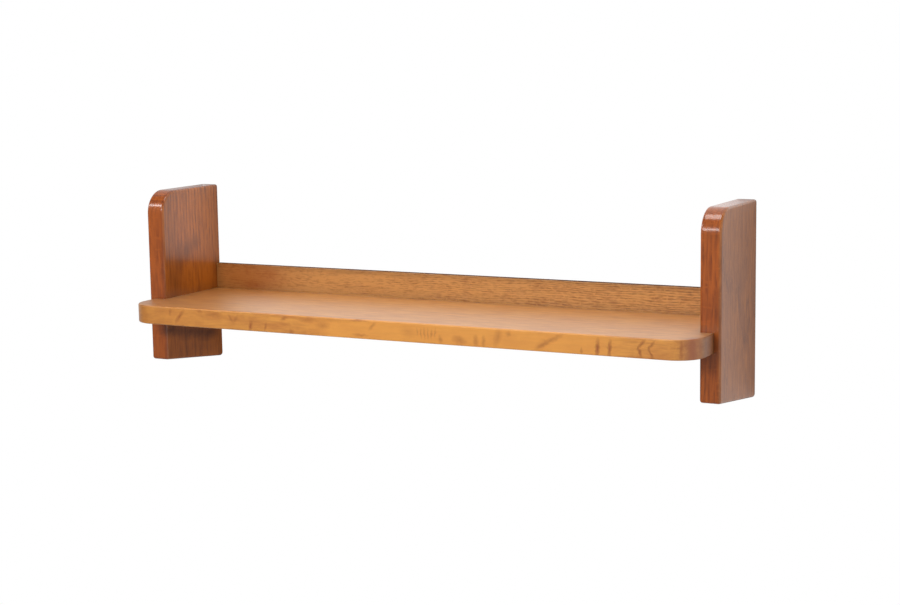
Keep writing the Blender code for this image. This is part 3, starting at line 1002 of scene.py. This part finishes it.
def add_softbox(name, place, target, width, height, radiance):
    """A rectangular light that faces a target, with its brightness given as radiance."""
    data = bpy.data.lights.new(name, "AREA")
    data.shape = "RECTANGLE"
    data.size = width
    data.size_y = height
    data.energy = radiance * math.pi * width * height
    softbox = add_object(name, data)
    softbox.location = place
    softbox.rotation_mode = "QUATERNION"
    softbox.rotation_quaternion = (Vector(target) - Vector(place)).to_track_quat("-Z", "Y")
    softbox.visible_camera = False


# How near the shelf the wall's paper darkens, and how steeply
SHADE_REACH = 80 * MM
SHADE_POWER = 1.5


def glowing_paper(name, radiance, shaded=False):
    """White paper, evenly lit. Where shaded, it darkens beside what stands against it."""
    material, tree = new_material(name)
    strength = radiance
    if shaded:
        open_air = add_node(tree, "AmbientOcclusion", {"Distance": SHADE_REACH}, samples=8).outputs["AO"]
        deepened = add_node(tree, "Math", {0: open_air, 1: SHADE_POWER}, operation="POWER")
        strength = add_node(tree, "Math", {0: deepened, 1: radiance}, operation="MULTIPLY")
    glow = add_node(tree, "Emission", {"Color": WHITE, "Strength": strength})
    add_node(tree, "OutputMaterial", {"Surface": glow})
    return material


def add_stage_piece(name, shape, material, seen_by_camera):
    """A piece of the studio that adds no light or shade: only the camera sees it, or only gloss does."""
    piece = add_object(name, mesh_of(name, shape))
    piece.data.materials.append(material)
    piece.visible_camera = seen_by_camera
    piece.visible_glossy = not seen_by_camera
    piece.visible_diffuse = False
    piece.visible_transmission = False
    piece.visible_shadow = False


def sheets(*spans):
    """Upright sheets just behind the shelf, from spans of left, right, bottom and top."""
    shape = bmesh.new()
    for left, right, bottom, top in spans:
        corners = rectangle((left, bottom), (right, top))
        shape.faces.new([shape.verts.new((u, FIT_GAP, v)) for u, v in corners])
    return shape


def add_room(studio):
    """Soft light from all round, with its own brightness towards each of the six directions."""
    world = bpy.data.worlds.new("room")
    world.use_nodes = True
    tree = world.node_tree
    tree.nodes.clear()
    direction = add_node(tree, "TexCoord").outputs["Generated"]
    levels = []
    for operation, sides in (
        ("MAXIMUM", (studio.room_right, studio.room_back, studio.room_top)),
        ("MINIMUM", (studio.room_left, studio.room_front, studio.room_floor)),
    ):
        facing = add_node(tree, "VectorMath", {0: direction, 1: (0, 0, 0)}, operation=operation)
        squared = add_node(tree, "VectorMath", {0: facing, 1: facing}, operation="MULTIPLY")
        levels.append(add_node(tree, "VectorMath", {0: squared, 1: sides}, operation="DOT_PRODUCT"))
    level = add_node(tree, "Math", {0: levels[0], 1: levels[1]}, operation="ADD")
    shine = add_node(tree, "Background", {"Color": WHITE, "Strength": level})
    add_node(tree, "OutputWorld", {"Surface": shine})
    bpy.context.scene.world = world


# Fineness of the white surround
SURROUND_SEGMENTS = 64
SURROUND_RINGS = 32
# Softboxes: their places, what they face, their widths and their heights
SOFTBOXES = {
    "left_lamp": ((-2.58, -2.50, 2.05), (-0.4, -0.1, 0.1), 2.0, 0.42),
    "front_strip": ((-0.376, -2.50, 0.95), (0.2, -0.1, 0.05), 1.8, 0.4),
    "overhead": ((0.06, -0.55, 2.00), (0.06, -0.55, 0), 0.7, 0.8),
}


class SHELF_OT_add_stage(bpy.types.Operator):
    """Adds the pale floor, the white surround, the lights and the camera"""

    bl_idname = "shelf.add_stage"
    bl_label = "Add stage"

    def execute(self, context):
        studio = context.scene.shelf_studio
        half = studio.floor_width / 2
        drop = studio.floor_drop
        floor = prism(rectangle((-half, -half), (half, half)), -drop - CUT_OVERRUN, -drop, "Z")
        add_stage_piece("floor", floor, glowing_paper("floor_paper", 1.0), True)
        surround = bmesh.new()
        bmesh.ops.create_uvsphere(
            surround,
            u_segments=SURROUND_SEGMENTS,
            v_segments=SURROUND_RINGS,
            radius=studio.surround_radius,
        )
        add_stage_piece("surround", surround, glowing_paper("surround_paper", 1.0), True)

        # The wall behind, leaving out what the shelf's own pieces stand against. It is dimmer at either
        # hand, and dim under the board.
        foot = RIGHT_SIDE_LOW.z
        top = SIDE_TOP_Z
        reach = studio.wall_reach
        bright = sheets(
            (-OUTER_HALF, reach, top, reach),
            (-OUTER_HALF, OUTER_HALF, -reach, foot - studio.wall_shadow),
            (-INNER_HALF, INNER_HALF, RAIL_HIGH.z, top),
        )
        left = sheets((-reach, -OUTER_HALF, -reach, reach))
        right = sheets((OUTER_HALF, reach, -reach, top))
        below = sheets(
            (-OUTER_HALF, OUTER_HALF, foot - studio.wall_shadow, foot),
            (-INNER_HALF, INNER_HALF, foot, RAIL_LOW.z),
        )
        for name, shape, radiance in (
            ("wall", bright, studio.wall),
            ("wall_left", left, studio.wall_left),
            ("wall_right", right, studio.wall_right),
            ("wall_below", below, studio.wall_below),
        ):
            add_stage_piece(name, shape, glowing_paper(name + "_paper", radiance, True), False)

        for name, (place, target, width, height) in SOFTBOXES.items():
            add_softbox(name, place, target, width, height, getattr(studio, name))
        add_room(studio)
        context.scene.view_settings.view_transform = "Standard"
        add_camera()
        return {"FINISHED"}


class SHELF_PT_panel(bpy.types.Panel):
    """Lists the shelf's sizes, colours, studio and pieces"""

    bl_label = "Oak wall shelf"
    bl_idname = "SHELF_PT_panel"
    bl_space_type = "VIEW_3D"
    bl_region_type = "UI"
    bl_category = "Shelf"

    def draw(self, context):
        for operator in OPERATORS:
            self.layout.operator(operator.bl_idname)
        for group in (context.scene.shelf_sizes, context.scene.shelf_colours, context.scene.shelf_studio):
            for name in group.__annotations__:
                self.layout.prop(group, name)


OPERATORS = (
    SHELF_OT_add_sides,
    SHELF_OT_add_board,
    SHELF_OT_add_rail,
    SHELF_OT_finish_steel,
    SHELF_OT_add_stage,
)
GROUPS = {"shelf_sizes": ShelfSizes, "shelf_colours": ShelfColours, "shelf_studio": ShelfStudio}


def register():
    for group in GROUPS.values():
        bpy.utils.register_class(group)
    for name, group in GROUPS.items():
        setattr(bpy.types.Scene, name, PointerProperty(type=group))
    for cls in (*OPERATORS, SHELF_PT_panel):
        bpy.utils.register_class(cls)


def unregister():
    for cls in reversed((*OPERATORS, SHELF_PT_panel)):
        bpy.utils.unregister_class(cls)
    for name in GROUPS:
        delattr(bpy.types.Scene, name)
    for group in GROUPS.values():
        bpy.utils.unregister_class(group)


def main():
    register()
    bpy.ops.shelf.add_sides()
    bpy.ops.shelf.add_board()
    bpy.ops.shelf.add_rail()
    bpy.ops.shelf.finish_steel()
    bpy.ops.shelf.add_stage()


if __name__ == "__main__":
    main()
